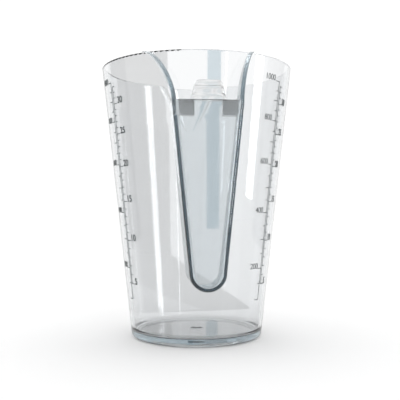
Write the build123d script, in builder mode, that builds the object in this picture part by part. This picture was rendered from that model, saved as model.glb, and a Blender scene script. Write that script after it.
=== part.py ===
from build123d import *
from math import cos, pi, radians, sin, sqrt


# A clear plastic urine measuring jug: a tapered cup with a pour spout on the +Y side
# and a hollow grip on the -Y side. The origin is the centre of the resting face, +Z is up.
# All sizes are in millimetres.

# The cup
height = 163.0
rim_radius = 58.0
base_radius = 39.8
wall = 2.0
floor_thickness = 2.4
foot_height = 1.8
foot_width = 5.0
floor_fillet = 3.0
base_fillet = 2.6
rim_rounding = 0.8
gate_radius = 4.0
gate_depth = 0.7

# The spout
spout_reach = 7.0
spout_radius = 24.0
spout_tail_radius = 5.0
spout_depth = 42.0
spout_crease_radius = 6.0

# The grip, a tapered channel whose hollow opens upwards
grip_top_z = 134.5
grip_bottom_z = 34.5
grip_depth_top = 13.0
grip_depth_bottom = 23.0
grip_width_top = 38.0
grip_end_radius = 9.8
grip_draft = 1.2
grip_wall = 2.2
grip_edge_radius = 3.4
least_inner_rounding = 0.5

# The wings, where the grip's side walls sweep up and out to the rim
left_wing_angle = 35.0
right_wing_angle = 26.0
wing_fullness = 1.55
wing_steps = 14
wing_overlap = 5.0
wing_tip_proud = 1.8
wing_gap = 0.05

# The thumb rest on the web's top edge
rest_thickness = 7.5
rest_foot_height = 8.0
rest_foot_inner_x = 7.5
hump_base_half = 9.6
hump_top_half = 6.6
hump_height = 10.5
hump_rounding = 2.2
hump_top_rounding = 1.5
groove_radius = 0.9
groove_heights = (2.4, 6.4)

# The printed scales
ink_thickness = 0.15
left_scale_angle = 65.7
right_scale_angle = 52.3
line_angle = 0.9
line_width = 0.4
tick_width = 0.4
minor_tick = 2.0
major_tick = 3.4
scale_clearance = 5.0
ml_step = 50
ml_major = 100
oz_major = 5
ml_per_oz = 29.5735

wall_slope = (rim_radius - base_radius) / height
floor_top_z = foot_height + floor_thickness
margin = 5.0


def outer_radius(z):
    """The cup's outside radius at a height."""
    return base_radius + wall_slope * z


def level_of(volume_ml):
    """The height of the liquid's surface at a volume, from the cone's volume."""
    floor_radius = outer_radius(floor_top_z) - wall
    cubed = 3 * wall_slope * volume_ml * 1000 / pi + floor_radius**3
    return floor_top_z + (cubed ** (1 / 3) - floor_radius) / wall_slope


def cup_cone(shrink, bottom_z, top_z):
    """A solid cone with the cup's taper, its surface shrunk inwards by a distance."""
    with BuildPart() as cone:
        with BuildSketch(Plane.XZ):
            with BuildLine():
                Polyline(
                    (0, bottom_z),
                    (outer_radius(bottom_z) - shrink, bottom_z),
                    (outer_radius(top_z) - shrink, top_z),
                    (0, top_z),
                    close=True,
                )
            make_face()
        revolve(axis=Axis.Z)
    return cone.part


def spout_cone(shrink):
    """The spout's slanted cone, from its tail inside the wall to its lip at the rim."""
    lip_centre = rim_radius + spout_reach - spout_radius
    tail_z = height - spout_depth
    tail_centre = outer_radius(tail_z) - spout_tail_radius - wall
    over = margin / spout_depth
    with BuildPart() as cone:
        with BuildSketch(Plane.XY.offset(tail_z)):
            with Locations((0, tail_centre)):
                Circle(spout_tail_radius - shrink)
        with BuildSketch(Plane.XY.offset(height + margin)):
            with Locations((0, lip_centre + over * (lip_centre - tail_centre))):
                Circle(spout_radius + over * (spout_radius - spout_tail_radius) - shrink)
        loft()
        split(bisect_by=Plane.XY.offset(height), keep=Keep.BOTTOM)
    return cone.part


# The cup: outside, hollow, foot ring and gate mark
with BuildPart() as jug_body:
    add(cup_cone(0, 0, height))
    add(spout_cone(0))
    crease = [e for e in jug_body.edges() if e.center().Z > floor_top_z and e.bounding_box().size.Z > margin]
    fillet(crease, spout_crease_radius)
    fillet(jug_body.edges().group_by(Axis.Z)[0], base_fillet)

    with BuildPart(mode=Mode.PRIVATE) as hollow:
        add(cup_cone(wall, floor_top_z, height))
        fillet(hollow.edges().group_by(Axis.Z)[0], floor_fillet)
        add(spout_cone(wall))
    add(hollow.part, mode=Mode.SUBTRACT)

    with BuildSketch(Plane.XY):
        Circle(base_radius - foot_width)
    extrude(amount=foot_height, mode=Mode.SUBTRACT)
    with Locations((0, 0, floor_top_z + gate_depth / 2)):
        Cone(gate_radius, gate_radius / 2, gate_depth)
    fillet(jug_body.faces().sort_by(Axis.Z)[-1].edges(), rim_rounding)
jug_body.part.label = "jug_body"


def web_reach(z):
    """The distance from the cup's axis to the outside of the grip's web."""
    low_z = grip_bottom_z + grip_end_radius
    share = (z - low_z) / (grip_top_z - low_z)
    depth = grip_depth_bottom + share * (grip_depth_top - grip_depth_bottom)
    return outer_radius(z) + depth


def grip_half_width(z):
    """Half the grip's width, across its web, at a height."""
    low_z = grip_bottom_z + grip_end_radius
    share = (z - low_z) / (grip_top_z - low_z)
    return grip_end_radius + share * (grip_width_top / 2 - grip_end_radius)


def grip_outline(shrink, widen, top_z):
    """The grip's tapered U, drawn with its height along the sketch's Y."""
    low_z = grip_bottom_z + grip_end_radius
    low_half = grip_half_width(low_z) - shrink + widen
    top_half = grip_half_width(top_z) - shrink + widen
    with BuildSketch() as outline:
        with BuildLine():
            Line((-low_half, low_z), (-top_half, top_z))
            Line((-top_half, top_z), (top_half, top_z))
            Line((top_half, top_z), (low_half, low_z))
            ThreePointArc((low_half, low_z), (0, low_z - low_half), (-low_half, low_z))
        make_face()
    return outline.sketch


def grip_block(shrink, top_z):
    """A solid of the grip's shape, from the cup's axis to its web, shrunk by a distance."""
    root_y = base_radius / 2
    web_y = web_reach(top_z) + margin
    with BuildPart() as block:
        with BuildSketch(Plane.XZ.offset(root_y)):
            add(grip_outline(shrink, grip_draft, top_z))
        with BuildSketch(Plane.XZ.offset(web_y)):
            add(grip_outline(shrink, 0, top_z))
        loft()
        with BuildSketch(Plane.YZ):
            with BuildLine():
                Polyline(
                    (0, 0),
                    (-web_reach(0) + shrink, 0),
                    (-web_reach(top_z) + shrink, top_z),
                    (0, top_z),
                    close=True,
                )
            make_face()
        extrude(amount=grip_width_top, both=True, mode=Mode.INTERSECT)
        web = block.faces().sort_by(Axis.Y)[0]
        sides = web.edges().sort_by(Axis.Z)[:-1]
        fillet(sides, max(grip_edge_radius - shrink, least_inner_rounding))
    return block.part


def wing_section(side, angle, z):
    """The plan of one side wall's strip at a height, from just off the cup's wall to its free edge."""
    rise = min(max((z - grip_top_z) / (height - grip_top_z), 0.0), 1.0)
    bend = (1 - rise**wing_fullness) ** (1 / wing_fullness)
    rim_x = rim_radius * sin(radians(angle))
    middle = grip_half_width(min(z, grip_top_z)) - grip_wall / 2
    strip_x = rim_x - (rim_x - middle) * bend
    low_tip_y = web_reach(min(z, grip_top_z)) - grip_edge_radius
    rim_y = rim_radius * cos(radians(angle)) + wing_tip_proud
    tip_y = rim_y + (low_tip_y - rim_y) * bend
    inner_x = strip_x - grip_wall / 2
    outer_x = strip_x + grip_wall / 2
    root = outer_radius(z) + wing_gap
    inner_y = sqrt(root**2 - inner_x**2)
    outer_y = sqrt(root**2 - outer_x**2)
    corners = [(inner_x, -inner_y), (outer_x, -outer_y), (outer_x, -tip_y), (inner_x, -tip_y)]
    return [(side * x, y) for x, y in corners]


def wing(side, angle):
    """One side wall above the web, swept up and out to the rim."""
    levels = [grip_top_z - wing_overlap, grip_top_z]
    for step in range(1, wing_steps + 1):
        levels.append(grip_top_z + (height - grip_top_z) * sin(pi / 2 * step / wing_steps))
    with BuildPart() as strip:
        for z in levels:
            with BuildSketch(Plane.XY.offset(z)):
                Polygon(*wing_section(side, angle, z), align=None)
        loft(ruled=True)
    return strip.part


# The grip: a tapered channel, hollow and open at the top, bonded to the cup's wall
with BuildPart() as grip_channel:
    add(grip_block(0, grip_top_z))
    add(grip_block(grip_wall, grip_top_z), mode=Mode.SUBTRACT)
    add(cup_cone(0, 0, height + margin), mode=Mode.SUBTRACT)
    add(wing(-1, left_wing_angle))
    add(wing(1, right_wing_angle))
grip_channel.part.label = "grip_channel"

# The thumb rest: a hump over the web's top edge, on two feet in the grip's hollow
with BuildPart() as thumb_rest:
    rest_outer_y = web_reach(grip_top_z)
    rest_inner_y = rest_outer_y - rest_thickness
    with BuildSketch(Plane.XZ.offset(rest_inner_y)):
        with Locations((-grip_width_top / 2, 0), (grip_width_top / 2, 0)):
            with Locations((0, grip_top_z - rest_foot_height / 2)):
                Rectangle(grip_width_top - 2 * rest_foot_inner_x, rest_foot_height)
    extrude(amount=rest_thickness)
    add(grip_block(grip_wall, grip_top_z), mode=Mode.INTERSECT)
    with BuildSketch(Plane.XZ.offset(rest_inner_y)):
        with BuildLine():
            Polyline(
                (-hump_base_half, grip_top_z),
                (-hump_top_half, grip_top_z + hump_height),
                (hump_top_half, grip_top_z + hump_height),
                (hump_base_half, grip_top_z),
                close=True,
            )
        make_face()
    extrude(amount=rest_thickness)
    fillet(thumb_rest.edges().filter_by(Axis.Y).group_by(Axis.Z)[-1], hump_rounding)
    fillet(thumb_rest.faces().sort_by(Axis.Z)[-1].edges().filter_by(Axis.X), hump_top_rounding)
    for groove_height in groove_heights:
        with Locations((0, -rest_outer_y, grip_top_z + groove_height)):
            Cylinder(groove_radius, grip_width_top, rotation=(0, 90, 0), mode=Mode.SUBTRACT)
    add(grip_channel.part, mode=Mode.SUBTRACT)
thumb_rest.part.label = "thumb_rest"


def band(angle_low, angle_high, z_low, z_high):
    """A patch of ink on the cup's outside, between two angles and two heights."""
    with BuildPart() as patch:
        with BuildSketch(Plane.XZ):
            with BuildLine():
                Polyline(
                    (outer_radius(z_low), z_low),
                    (outer_radius(z_low) + ink_thickness, z_low),
                    (outer_radius(z_high) + ink_thickness, z_high),
                    (outer_radius(z_high), z_high),
                    close=True,
                )
            make_face()
        revolve(axis=Axis.Z, revolution_arc=angle_high - angle_low)
    return patch.part.rotate(Axis.Z, angle_low)


def full_count(step_ml):
    """The most steps of a volume whose level stays clear of the rim."""
    count = 1
    while level_of((count + 1) * step_ml) < height - scale_clearance:
        count += 1
    return count


def scale_line(middle_angle, tick_side, volumes, major):
    """One printed scale: a line up the wall, with a tick at each volume."""
    bottom_z = level_of(volumes[0][0])
    top_z = level_of(volumes[-1][0])
    line_half = line_width / 2 / outer_radius(top_z) * 180 / pi
    pieces = [band(middle_angle - line_half, middle_angle + line_half, bottom_z, top_z + tick_width)]
    for volume, count in volumes:
        z = level_of(volume)
        length = major_tick if count % major == 0 else minor_tick
        sweep = length / outer_radius(z) * 180 / pi
        start = middle_angle + line_half if tick_side > 0 else middle_angle - line_half - sweep
        pieces.append(band(start, start + sweep, z, z + tick_width))
    return pieces


ml_full = full_count(ml_major) * ml_major
oz_full = int(ml_full / ml_per_oz)
ml_volumes = [(count, count) for count in range(ml_major, ml_full + 1, ml_step)]
oz_volumes = [(count * ml_per_oz, count) for count in range(oz_major, oz_full + 1)]


def printed_scale(name, middle_angle):
    """Both scales on one side of the cup: millilitres to the left, fluid ounces to the right."""
    ml_ticks = scale_line(middle_angle - line_angle, -1, ml_volumes, ml_major)
    oz_ticks = scale_line(middle_angle + line_angle, 1, oz_volumes, oz_major)
    with BuildPart() as print_block:
        for piece in ml_ticks + oz_ticks:
            add(piece)
    print_block.part.label = name
    return print_block.part


grip_angle = -90.0
scale_left = printed_scale("scale_left", grip_angle - left_scale_angle)
scale_right = printed_scale("scale_right", grip_angle + right_scale_angle)

for piece in (jug_body.part, grip_channel.part, thumb_rest.part, scale_left, scale_right):
    export_step(piece, f"parts/{piece.label}.step")
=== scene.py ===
"""Looks for a clear plastic urine measuring jug: plastic, printed scales and numerals, and a pale studio."""

import math

import bpy
from mathutils import Matrix, Vector


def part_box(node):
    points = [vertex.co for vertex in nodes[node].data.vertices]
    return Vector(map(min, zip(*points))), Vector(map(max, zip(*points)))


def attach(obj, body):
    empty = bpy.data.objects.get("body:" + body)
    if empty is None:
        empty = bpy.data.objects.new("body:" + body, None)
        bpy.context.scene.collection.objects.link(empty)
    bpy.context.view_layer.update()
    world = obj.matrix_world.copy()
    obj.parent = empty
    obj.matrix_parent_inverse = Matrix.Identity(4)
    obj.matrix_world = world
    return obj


bl_info = {
    "name": "Urine measuring jug",
    "version": (1, 0, 0),
    "blender": (4, 5, 0),
    "location": "View3D > Sidebar > Jug",
    "description": "Builds the looks of a clear plastic urine measuring jug around its CAD frame",
    "category": "Object",
}

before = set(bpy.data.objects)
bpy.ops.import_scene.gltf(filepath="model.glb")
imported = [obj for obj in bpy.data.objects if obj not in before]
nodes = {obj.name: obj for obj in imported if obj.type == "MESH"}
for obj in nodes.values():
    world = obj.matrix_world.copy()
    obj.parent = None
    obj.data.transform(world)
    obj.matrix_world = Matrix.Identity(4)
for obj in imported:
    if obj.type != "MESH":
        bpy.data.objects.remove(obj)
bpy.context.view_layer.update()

MM = 0.001

# Where the cup's outside is measured: just above the foot and just below the rim, in a thin band.
ABOVE_FOOT = 1.3 * MM
BELOW_RIM = 0.9 * MM
MEASURED_BAND = 0.4 * MM


def cup_radius(z):
    """The cup's outside radius at a height, measured on the CAD cup away from its spout."""
    low, high = CUP_LOW_Z, CUP_HIGH_Z
    return CUP_LOW_RADIUS + (z - low) * (CUP_HIGH_RADIUS - CUP_LOW_RADIUS) / (high - low)


def widest_near(z, reach):
    """The largest distance from the axis of the cup's points near a height, on the grip's side."""
    points = (v.co for v in nodes["jug_body"].data.vertices)
    return max(math.hypot(p.x, p.y) for p in points if abs(p.z - z) < reach and p.y < 0)


JUG_LOW, JUG_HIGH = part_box("jug_body")
CUP_LOW_Z = JUG_LOW.z + ABOVE_FOOT
CUP_HIGH_Z = JUG_HIGH.z - BELOW_RIM
CUP_LOW_RADIUS = widest_near(CUP_LOW_Z, MEASURED_BAND)
CUP_HIGH_RADIUS = widest_near(CUP_HIGH_Z, MEASURED_BAND)


# ---------------------------------------------------------------- settings


class JugPlastic(bpy.types.PropertyGroup):
    """The clear plastic of the cup, grip and thumb rest, with a painted highlight of milky white on the
    thumb rest.
    """

    tint: bpy.props.FloatVectorProperty(
        name="Tint", description="Colour of the clear plastic", subtype="COLOR",
        size=3, default=(0.89, 0.895, 0.9), min=0, max=1,
    )
    grip_tint: bpy.props.FloatVectorProperty(
        name="Grip tint", description="Colour of the grip's thicker plastic", subtype="COLOR",
        size=3, default=(1.0, 1.0, 1.0), min=0, max=1,
    )
    # The thumb rest's near-white colour tints the light it lets through. On the share it doesn't let
    # through, it shows as milky white, a painted highlight that makes the clear rest read bright.
    rest_tint: bpy.props.FloatVectorProperty(
        name="Rest tint", description="Colour of the thumb rest", subtype="COLOR",
        size=3, default=(0.995, 0.995, 0.995), min=0, max=1,
    )
    rest_clearness: bpy.props.FloatProperty(
        name="Rest clearness", description="Share of light that the thumb rest lets through",
        default=0.8, min=0, max=1,
    )
    depth_tint: bpy.props.FloatVectorProperty(
        name="Depth tint", description="Colour that thick plastic takes", subtype="COLOR",
        size=3, default=(0.04, 0.2, 0.28), min=0, max=1,
    )
    depth_density: bpy.props.FloatProperty(
        name="Depth density", description="How soon thick plastic turns dark, per metre",
        default=14.0, min=0, max=1000,
    )
    grip_density: bpy.props.FloatProperty(
        name="Grip density", description="How soon the grip's thick walls turn dark, per metre",
        default=125.0, min=0, max=1000,
    )
    rest_density: bpy.props.FloatProperty(
        name="Rest density", description="How soon the thumb rest turns dark, per metre",
        default=0.0, min=0, max=1000,
    )
    polish: bpy.props.FloatProperty(
        name="Roughness", description="Roughness of the polished faces", default=0.03, min=0, max=1,
    )
    flow: bpy.props.FloatProperty(
        name="Flow waviness", description="Depth of the moulding's flow waves", unit="LENGTH",
        default=0.00012, min=0, max=0.002,
    )


class JugInk(bpy.types.PropertyGroup):
    """The printed scales and numerals."""

    ink: bpy.props.FloatVectorProperty(
        name="Ink", description="Colour of the printed ink", subtype="COLOR",
        size=3, default=(0.035, 0.045, 0.045), min=0, max=1,
    )
    pale_ink: bpy.props.FloatVectorProperty(
        name="Thin ink", description="Colour of the thinly printed lines", subtype="COLOR",
        size=3, default=(0.16, 0.2, 0.2), min=0, max=1,
    )
    numeral_height: bpy.props.FloatProperty(
        name="Numeral height", description="Height of the printed numerals", unit="LENGTH",
        default=0.0052, min=0.001, max=0.02,
    )


class JugStudio(bpy.types.PropertyGroup):
    """The floor, lights and camera."""

    distance: bpy.props.FloatProperty(
        name="Camera distance", description="From the cup's axis to the camera", unit="LENGTH",
        default=0.4, min=0.1, max=3,
    )
    camera_height: bpy.props.FloatProperty(
        name="Camera height", description="Above the floor", unit="LENGTH", default=0.0794, min=0, max=1,
    )
    turn: bpy.props.FloatProperty(
        name="Camera turn", description="Round the jug, away from the grip", subtype="ANGLE",
        default=math.radians(5.5),
    )
    shift: bpy.props.FloatVectorProperty(
        name="Shift", description="Where the jug stands in the frame, as shares of its width",
        size=2, default=(0.00875, 0.015),
    )
    lens: bpy.props.FloatProperty(
        name="Lens", description="Focal length in millimetres", default=58.0, min=10, max=200,
    )


# ---------------------------------------------------------------- shader groups


def new_group(name, inputs, outputs):
    """An empty shader node group with its sockets made; returns it with its two end nodes."""
    group = bpy.data.node_groups.new(name, "ShaderNodeTree")
    for label, kind, value in inputs:
        socket = group.interface.new_socket(name=label, in_out="INPUT", socket_type=kind)
        if value is not None:
            socket.default_value = value
    for label, kind in outputs:
        group.interface.new_socket(name=label, in_out="OUTPUT", socket_type=kind)
    start = group.nodes.new("NodeGroupInput")
    end = group.nodes.new("NodeGroupOutput")
    return group, start, end


WAVE_SCALE = 18.0
WAVE_STRETCH = 0.15
SCUFF_SCALE = 420.0
SCUFF_FROM, SCUFF_TO = 0.52, 0.75


def flow_waves_group():
    """Long soft waves in moulded plastic, with fine handling scuffs: a height and a roughness."""
    group, start, end = new_group(
        "flow_waves",
        [("Scale", "NodeSocketFloat", WAVE_SCALE), ("Stretch", "NodeSocketFloat", WAVE_STRETCH),
         ("Base roughness", "NodeSocketFloat", 0.03), ("Scuff", "NodeSocketFloat", 0.05)],
        [("Height", "NodeSocketFloat"), ("Roughness", "NodeSocketFloat")],
    )
    links = group.links
    place = group.nodes.new("ShaderNodeTexCoord")
    split = group.nodes.new("ShaderNodeSeparateXYZ")
    squeeze = group.nodes.new("ShaderNodeMath")
    squeeze.operation = "MULTIPLY"
    join = group.nodes.new("ShaderNodeCombineXYZ")
    waves = group.nodes.new("ShaderNodeTexNoise")
    waves.inputs["Detail"].default_value = 1.0
    links.new(place.outputs["Object"], split.inputs[0])
    links.new(split.outputs["Z"], squeeze.inputs[0])
    links.new(start.outputs["Stretch"], squeeze.inputs[1])
    links.new(split.outputs["X"], join.inputs["X"])
    links.new(split.outputs["Y"], join.inputs["Y"])
    links.new(squeeze.outputs[0], join.inputs["Z"])
    links.new(join.outputs[0], waves.inputs["Vector"])
    links.new(start.outputs["Scale"], waves.inputs["Scale"])
    links.new(waves.outputs["Fac"], end.inputs["Height"])

    scuffs = group.nodes.new("ShaderNodeTexNoise")
    scuffs.inputs["Scale"].default_value = SCUFF_SCALE
    scuffs.inputs["Detail"].default_value = 4.0
    links.new(place.outputs["Object"], scuffs.inputs["Vector"])
    worn = group.nodes.new("ShaderNodeMapRange")
    worn.inputs["From Min"].default_value = SCUFF_FROM
    worn.inputs["From Max"].default_value = SCUFF_TO
    links.new(scuffs.outputs["Fac"], worn.inputs["Value"])
    amount = group.nodes.new("ShaderNodeMath")
    amount.operation = "MULTIPLY_ADD"
    links.new(worn.outputs["Result"], amount.inputs[0])
    links.new(start.outputs["Scuff"], amount.inputs[1])
    links.new(start.outputs["Base roughness"], amount.inputs[2])
    links.new(amount.outputs[0], end.inputs["Roughness"])
    return group


GRAIN_SCALE = 900.0
THIN_FROM, THIN_TO = 0.4, 0.7
SMOOTH_INK, ROUGH_INK = 0.45, 0.7


def ink_grain_group():
    """Pinholes and thin places in screen-printed ink: a colour and a roughness."""
    group, start, end = new_group(
        "ink_grain",
        [("Ink", "NodeSocketColor", (0.03, 0.04, 0.04, 1)),
         ("Thin ink", "NodeSocketColor", (0.2, 0.2, 0.2, 1)),
         ("Thinness", "NodeSocketFloat", 0.5)],
        [("Color", "NodeSocketColor"), ("Roughness", "NodeSocketFloat")],
    )
    links = group.links
    place = group.nodes.new("ShaderNodeTexCoord")
    grain = group.nodes.new("ShaderNodeTexNoise")
    grain.inputs["Scale"].default_value = GRAIN_SCALE
    grain.inputs["Detail"].default_value = 3.0
    links.new(place.outputs["Object"], grain.inputs["Vector"])
    thin = group.nodes.new("ShaderNodeMapRange")
    thin.inputs["From Min"].default_value = THIN_FROM
    thin.inputs["From Max"].default_value = THIN_TO
    links.new(grain.outputs["Fac"], thin.inputs["Value"])
    share = group.nodes.new("ShaderNodeMath")
    share.operation = "MULTIPLY"
    links.new(thin.outputs["Result"], share.inputs[0])
    links.new(start.outputs["Thinness"], share.inputs[1])
    mix = group.nodes.new("ShaderNodeMix")
    mix.data_type = "RGBA"
    links.new(share.outputs[0], mix.inputs["Factor"])
    links.new(start.outputs["Ink"], mix.inputs["A"])
    links.new(start.outputs["Thin ink"], mix.inputs["B"])
    links.new(mix.outputs["Result"], end.inputs["Color"])
    rough = group.nodes.new("ShaderNodeMapRange")
    rough.inputs["To Min"].default_value = SMOOTH_INK
    rough.inputs["To Max"].default_value = ROUGH_INK
    links.new(grain.outputs["Fac"], rough.inputs["Value"])
    links.new(rough.outputs["Result"], end.inputs["Roughness"])
    return group


# ---------------------------------------------------------------- materials


PLASTIC_IOR = 1.49
CUP_SCUFF, GRIP_SCUFF, REST_SCUFF = 0.05, 0.07, 0.1
LINE_THINNESS, NUMERAL_THINNESS = 0.6, 0.25


def clear_plastic(name, tint, settings, scuff, density, clearness=1.0):
    """Polished clear moulded plastic, tinted, with flow waves and light scuffs."""
    material = bpy.data.materials.new(name)
    material.use_nodes = True
    tree = material.node_tree
    shader = tree.nodes["Principled BSDF"]
    shader.inputs["Base Color"].default_value = (*tint, 1)
    # Below full clearness the base colour shows as milky white. On the thumb rest this white is a painted
    # highlight.
    shader.inputs["Transmission Weight"].default_value = clearness
    shader.inputs["IOR"].default_value = PLASTIC_IOR
    waves = tree.nodes.new("ShaderNodeGroup")
    waves.node_tree = bpy.data.node_groups["flow_waves"]
    waves.inputs["Base roughness"].default_value = settings.polish
    waves.inputs["Scuff"].default_value = scuff
    bump = tree.nodes.new("ShaderNodeBump")
    bump.inputs["Distance"].default_value = settings.flow
    tree.links.new(waves.outputs["Height"], bump.inputs["Height"])
    tree.links.new(waves.outputs["Roughness"], shader.inputs["Roughness"])
    tree.links.new(bump.outputs["Normal"], shader.inputs["Normal"])
    depth = tree.nodes.new("ShaderNodeVolumeAbsorption")
    depth.inputs["Color"].default_value = (*settings.depth_tint, 1)
    depth.inputs["Density"].default_value = density
    tree.links.new(depth.outputs["Volume"], tree.nodes["Material Output"].inputs["Volume"])
    return material


def printed_ink(name, settings, thinness):
    """Screen-printed ink with fine pinholes."""
    material = bpy.data.materials.new(name)
    material.use_nodes = True
    tree = material.node_tree
    shader = tree.nodes["Principled BSDF"]
    grain = tree.nodes.new("ShaderNodeGroup")
    grain.node_tree = bpy.data.node_groups["ink_grain"]
    grain.inputs["Ink"].default_value = (*settings.ink, 1)
    grain.inputs["Thin ink"].default_value = (*settings.pale_ink, 1)
    grain.inputs["Thinness"].default_value = thinness
    tree.links.new(grain.outputs["Color"], shader.inputs["Base Color"])
    tree.links.new(grain.outputs["Roughness"], shader.inputs["Roughness"])
    return material


def dress(obj, material):
    """Gives a piece one material."""
    obj.data.materials.clear()
    obj.data.materials.append(material)


# ---------------------------------------------------------------- operators


class JUG_OT_plastic(bpy.types.Operator):
    """Give the cup, grip and thumb rest their clear plastic"""

    bl_idname = "jug.plastic"
    bl_label = "Clear plastic"

    def execute(self, context):
        flow_waves_group()
        settings = context.scene.jug_plastic
        cup = clear_plastic(
            "cup_plastic", settings.tint, settings, CUP_SCUFF, settings.depth_density,
        )
        grip = clear_plastic(
            "grip_plastic", settings.grip_tint, settings, GRIP_SCUFF, settings.grip_density,
        )
        # The thumb rest lets only part of the light through and shows the remainder as milky near-white, a
        # painted highlight.
        rest = clear_plastic(
            "rest_plastic", settings.rest_tint, settings, REST_SCUFF, settings.rest_density,
            settings.rest_clearness,
        )
        dress(nodes["jug_body"], cup)
        dress(nodes["grip_channel"], grip)
        dress(nodes["thumb_rest"], rest)
        return {"FINISHED"}


def scale_middle(node_name):
    """The angle round the cup of a scale's middle line."""
    angles = [math.atan2(v.co.y, v.co.x) for v in nodes[node_name].data.vertices]
    return (min(angles) + max(angles)) / 2


def wrap_on_cup(obj, angle, z, proud):
    """Bends a flat piece, drawn in X and Y about its origin, round the cup at an angle and a height."""
    for vertex in obj.data.vertices:
        height = z + vertex.co.y
        radius = cup_radius(height) + proud + vertex.co.z
        turn = angle + vertex.co.x / cup_radius(z)
        vertex.co = Vector((radius * math.cos(turn), radius * math.sin(turn), height))


NUMERAL_HALF_THICKNESS = 0.00006
BOLD_SPREAD = 0.00012


def numeral(text, size, bold, side):
    """A flat printed numeral as a mesh, beside its origin and standing just above it."""
    bpy.ops.object.select_all(action="DESELECT")
    bpy.ops.object.text_add(location=(0, 0, 0))
    obj = bpy.context.object
    obj.data.body = text
    obj.data.size = size
    obj.data.align_x = side
    obj.data.align_y = "BOTTOM_BASELINE"
    obj.data.extrude = NUMERAL_HALF_THICKNESS
    obj.data.offset = BOLD_SPREAD if bold else 0.0
    bpy.ops.object.convert(target="MESH")
    return bpy.context.object


ML_PER_OZ = 29.5735
ML_LABEL_STEP = 200
OZ_LABEL_STEP = 5
LABEL_EDGE = math.radians(5.6)
ML_LABEL_SHARE = 0.9
INK_PROUD = 0.0001
CUBIC_METRES_PER_ML = 1e-6
# The cup's wall and the top of its floor, as in the CAD.
CUP_WALL = 2.0 * MM
CUP_FLOOR_Z = 4.2 * MM


def level_of(volume_ml):
    """The height of the liquid's surface at a volume, from the cup's inside cone."""
    slope = (CUP_HIGH_RADIUS - CUP_LOW_RADIUS) / (CUP_HIGH_Z - CUP_LOW_Z)
    floor_radius = cup_radius(CUP_FLOOR_Z) - CUP_WALL
    cubed = 3 * slope * volume_ml * CUBIC_METRES_PER_ML / math.pi + floor_radius ** 3
    return CUP_FLOOR_Z + (cubed ** (1 / 3) - floor_radius) / slope


class JUG_OT_numerals(bpy.types.Operator):
    """Print the numerals beside the scales"""

    bl_idname = "jug.numerals"
    bl_label = "Numerals"

    def execute(self, context):
        ink_grain_group()
        settings = context.scene.jug_ink
        size = settings.numeral_height
        line_ink = printed_ink("line_ink", settings, LINE_THINNESS)
        numeral_ink = printed_ink("numeral_ink", settings, NUMERAL_THINNESS)
        for name in ("scale_left", "scale_right"):
            dress(nodes[name], line_ink)
        for side in ("left", "right"):
            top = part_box(f"scale_{side}")[1].z
            middle = scale_middle(f"scale_{side}")
            made = []
            volume = ML_LABEL_STEP
            while level_of(volume) < top:
                piece = numeral(str(volume), size * ML_LABEL_SHARE, False, "RIGHT")
                wrap_on_cup(piece, middle - LABEL_EDGE, level_of(volume), INK_PROUD)
                made.append(piece)
                volume += ML_LABEL_STEP
            ounces = OZ_LABEL_STEP
            while level_of(ounces * ML_PER_OZ) < top:
                piece = numeral(str(ounces), size, True, "LEFT")
                wrap_on_cup(piece, middle + LABEL_EDGE, level_of(ounces * ML_PER_OZ), INK_PROUD)
                made.append(piece)
                ounces += OZ_LABEL_STEP
            bpy.ops.object.select_all(action="DESELECT")
            for piece in made:
                piece.select_set(True)
            context.view_layer.objects.active = made[0]
            bpy.ops.object.join()
            block = context.view_layer.objects.active
            block.name = f"numerals_{side}"
            dress(block, numeral_ink)
            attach(block, "root")
        return {"FINISHED"}


# Each upright card: name, distance from the jug's axis, bearing in degrees from the camera's side
# (positive to its right), lowest and highest edge, width, colour, and glow.
CARDS = (
    ("shade_left", 0.34, -104, -0.10, 0.60, 0.22, (0.6, 0.6, 0.61), 0.0),
    ("shade_right", 0.34, 104, -0.10, 0.60, 0.22, (0.6, 0.6, 0.61), 0.0),
    ("grey_back_left", 0.66, -170, -0.01, 0.70, 0.13, (0.74, 0.74, 0.74), 0.0),
    ("grey_back_far_left", 0.64, -154, -0.01, 0.70, 0.09, (0.82, 0.82, 0.82), 0.0),
    ("blue_back", 0.58, 177.2, 0.045, 0.60, 0.022, (0.66, 0.74, 0.78), 0.0),
    ("bright_right", 0.45, 75, 0.02, 0.60, 0.085, (1.0, 1.0, 1.0), 8.0),
    ("bright_left", 0.45, -100, 0.0, 0.16, 0.05, (1.0, 1.0, 1.0), 7.0),
    ("bright_front", 0.50, 33, 0.0, 0.40, 0.012, (1.0, 1.0, 1.0), 8.0),
)

# Each card lying behind the jug: name, nearest and furthest edge, bearing, width, and colour.
LAID_CARDS = (
    ("grey_floor_left", 0.085, 0.66, -170, 0.13, (0.74, 0.74, 0.74)),
    ("grey_floor_far_left", 0.085, 0.64, -154, 0.09, (0.82, 0.82, 0.82)),
)
LAID_CARD_Z = 0.0002

ROOM_GLOW = 1.1
FLOOR_SIZE = 6
FLOOR_Z = -0.0004
FLOOR_COLOUR = (0.99, 0.99, 0.99)
FLOOR_ROUGHNESS = 0.9
SENSOR_WIDTH_MM = 36


def hidden_card(name, place, colour, glow):
    """A card that only the plastic sees: a unit square put in place by a matrix."""
    bpy.ops.object.select_all(action="DESELECT")
    bpy.ops.mesh.primitive_plane_add(size=1, location=(0, 0, 0))
    plane = bpy.context.object
    plane.name = name
    plane.data.transform(place)
    material = bpy.data.materials.new(name)
    material.use_nodes = True
    shader = material.node_tree.nodes["Principled BSDF"]
    shader.inputs["Base Color"].default_value = (*colour, 1)
    shader.inputs["Roughness"].default_value = 1
    shader.inputs["Emission Color"].default_value = (1, 1, 1, 1)
    shader.inputs["Emission Strength"].default_value = glow
    plane.data.materials.append(material)
    plane.visible_camera = False
    plane.visible_shadow = False
    plane.visible_diffuse = False


def card_turn(bearing):
    """The turn about +Z that brings +Y round to a bearing from the camera's side."""
    return math.radians(bearing) - bpy.context.scene.jug_studio.turn - math.pi


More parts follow.
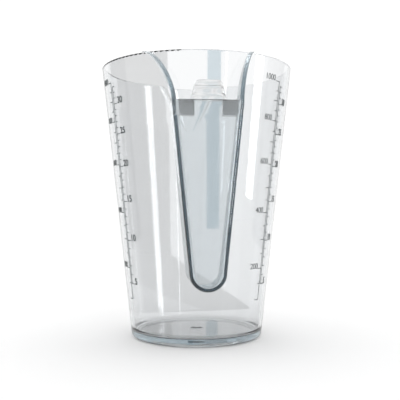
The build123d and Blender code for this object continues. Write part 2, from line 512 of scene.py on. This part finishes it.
def studio_card(name, distance, bearing, low, high, width, colour, glow):
    """An upright matt or glowing card, facing the jug."""
    spin = Matrix.Rotation(card_turn(bearing), 4, "Z")
    shift = Matrix.Translation((0, distance, (low + high) / 2))
    upright = Matrix.Rotation(math.pi / 2, 4, "X")
    stretch = Matrix.Diagonal((width, high - low, 1, 1))
    hidden_card(name, spin @ shift @ upright @ stretch, colour, glow)


def laid_card(name, near, far, bearing, width, colour, lift):
    """A matt card lying just above the floor behind the jug."""
    spin = Matrix.Rotation(card_turn(bearing), 4, "Z")
    shift = Matrix.Translation((0, (near + far) / 2, lift))
    stretch = Matrix.Diagonal((width, far - near, 1, 1))
    hidden_card(name, spin @ shift @ stretch, colour, 0.0)


class JUG_OT_studio(bpy.types.Operator):
    """Set up the pale floor, the soft lights and the camera"""

    bl_idname = "jug.studio"
    bl_label = "Studio"

    def execute(self, context):
        scene = context.scene
        settings = scene.jug_studio
        scene.view_settings.view_transform = "Standard"
        world = bpy.data.worlds.new("pale_room")
        scene.world = world
        world.use_nodes = True
        background = world.node_tree.nodes["Background"]
        background.inputs["Color"].default_value = (1, 1, 1, 1)
        background.inputs["Strength"].default_value = ROOM_GLOW

        bpy.ops.object.select_all(action="DESELECT")
        bpy.ops.mesh.primitive_plane_add(size=FLOOR_SIZE, location=(0, 0, FLOOR_Z))
        floor = context.object
        floor.name = "floor"
        pale = bpy.data.materials.new("pale_floor")
        pale.use_nodes = True
        shader = pale.node_tree.nodes["Principled BSDF"]
        shader.inputs["Base Color"].default_value = (*FLOOR_COLOUR, 1)
        shader.inputs["Roughness"].default_value = FLOOR_ROUGHNESS
        floor.data.materials.append(pale)

        for card in CARDS:
            studio_card(*card)
        for level, card in enumerate(LAID_CARDS, 1):
            laid_card(*card, lift=level * LAID_CARD_Z)
        camera_data = bpy.data.cameras.new("camera")
        camera = bpy.data.objects.new("camera", camera_data)
        scene.collection.objects.link(camera)
        camera_data.lens = settings.lens
        camera_data.sensor_width = SENSOR_WIDTH_MM
        camera.location = (
            -settings.distance * math.sin(settings.turn),
            -settings.distance * math.cos(settings.turn),
            settings.camera_height,
        )
        camera.rotation_euler = (math.radians(90), 0, -settings.turn)
        camera_data.shift_x = settings.shift[0]
        camera_data.shift_y = settings.shift[1]
        scene.camera = camera
        return {"FINISHED"}


class JUG_PT_panel(bpy.types.Panel):
    """The jug's steps, in order"""

    bl_idname = "JUG_PT_panel"
    bl_label = "Measuring jug"
    bl_space_type = "VIEW_3D"
    bl_region_type = "UI"
    bl_category = "Jug"

    def draw(self, context):
        for step in (JUG_OT_plastic, JUG_OT_numerals, JUG_OT_studio):
            self.layout.operator(step.bl_idname)


CLASSES = (
    JugPlastic, JugInk, JugStudio, JUG_OT_plastic, JUG_OT_numerals, JUG_OT_studio, JUG_PT_panel,
)


def register():
    for cls in CLASSES:
        bpy.utils.register_class(cls)
    bpy.types.Scene.jug_plastic = bpy.props.PointerProperty(type=JugPlastic)
    bpy.types.Scene.jug_ink = bpy.props.PointerProperty(type=JugInk)
    bpy.types.Scene.jug_studio = bpy.props.PointerProperty(type=JugStudio)


def unregister():
    del bpy.types.Scene.jug_plastic
    del bpy.types.Scene.jug_ink
    del bpy.types.Scene.jug_studio
    for cls in reversed(CLASSES):
        bpy.utils.unregister_class(cls)


def main():
    register()
    bpy.ops.jug.plastic()
    bpy.ops.jug.numerals()
    bpy.ops.jug.studio()


if __name__ == "__main__":
    main()
